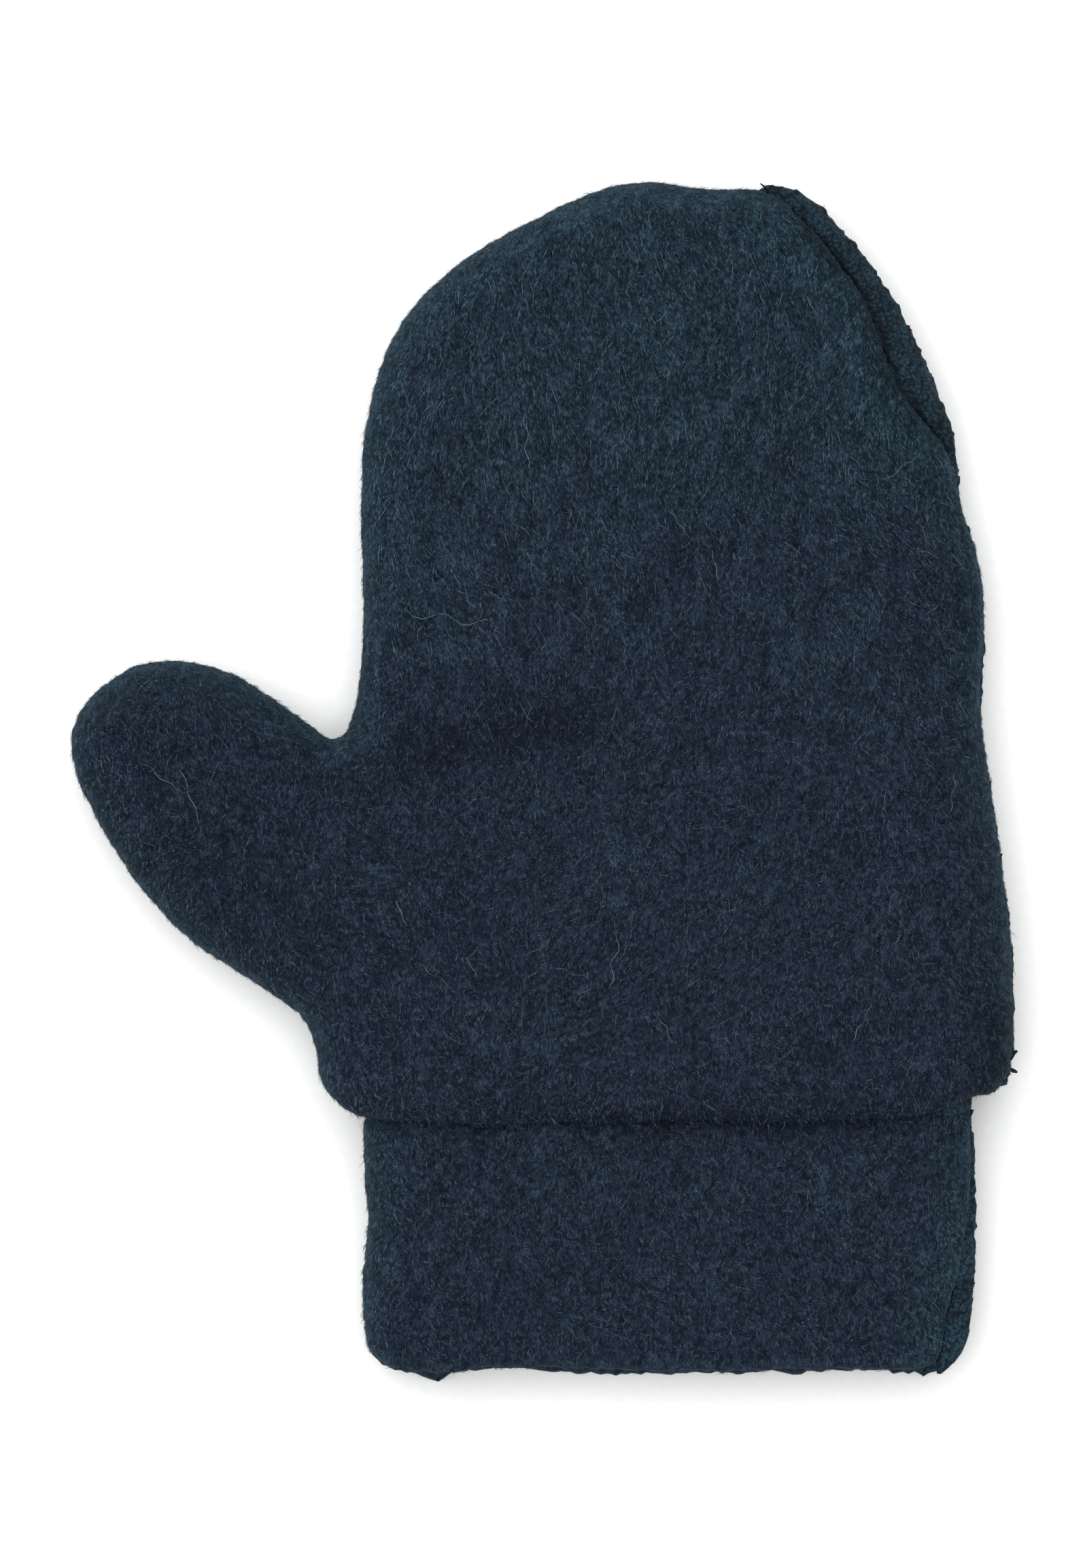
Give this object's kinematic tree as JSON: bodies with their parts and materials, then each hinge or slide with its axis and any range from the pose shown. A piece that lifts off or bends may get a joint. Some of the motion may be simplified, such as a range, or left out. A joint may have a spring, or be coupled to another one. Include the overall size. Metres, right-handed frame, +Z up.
{
  "type": "convertible flip-top mitten",
  "caption": "Child's brushed fleece mitten whose whole hood, with fingers and thumb, turns back at the wrist from a fingerless inner mitt with a cuff.",
  "frame": {"origin": "on the table under the middle of the mitten's bounding box, as it lies flat and empty", "axes": "+Z up, out of the back of the hand; +Y to the fingertips; +X to the little finger's side"},
  "size_m": [0.1338, 0.169, 0.0175],
  "materials": {
    "outer_fleece": "brushed, long nap",
    "inner_fleece": "granular unbrushed inner face",
    "seam_thread": "matte overlock thread"
  },
  "bodies": {
    "wristlet": {"cuff_back_panel": "outer_fleece", "cuff_palm_panel": "outer_fleece", "mitt_back_panel": "inner_fleece", "mitt_palm_panel": "inner_fleece", "flip_seam": "seam_thread", "palm_wrist_seam": "seam_thread", "cuff_pinky_seam": "seam_thread", "cuff_thumb_seam": "seam_thread", "mitt_pinky_seam": "seam_thread", "mitt_thumb_seam_lower": "seam_thread", "mitt_thumb_seam_upper": "seam_thread"},
    "hood": {"hood_back_panel": "outer_fleece", "hood_palm_panel": "outer_fleece", "hood_edge_seam": "seam_thread"}
  },
  "joints": [
    {"name": "hood_flip", "type": "hinge", "parent": "wristlet", "child": "hood", "pos_m": [0.0178, -0.0495, 0.0175], "axis": [1, 0, 0], "range_deg": [0, 180], "deforming": ["hood_palm_panel"]}
  ]
}
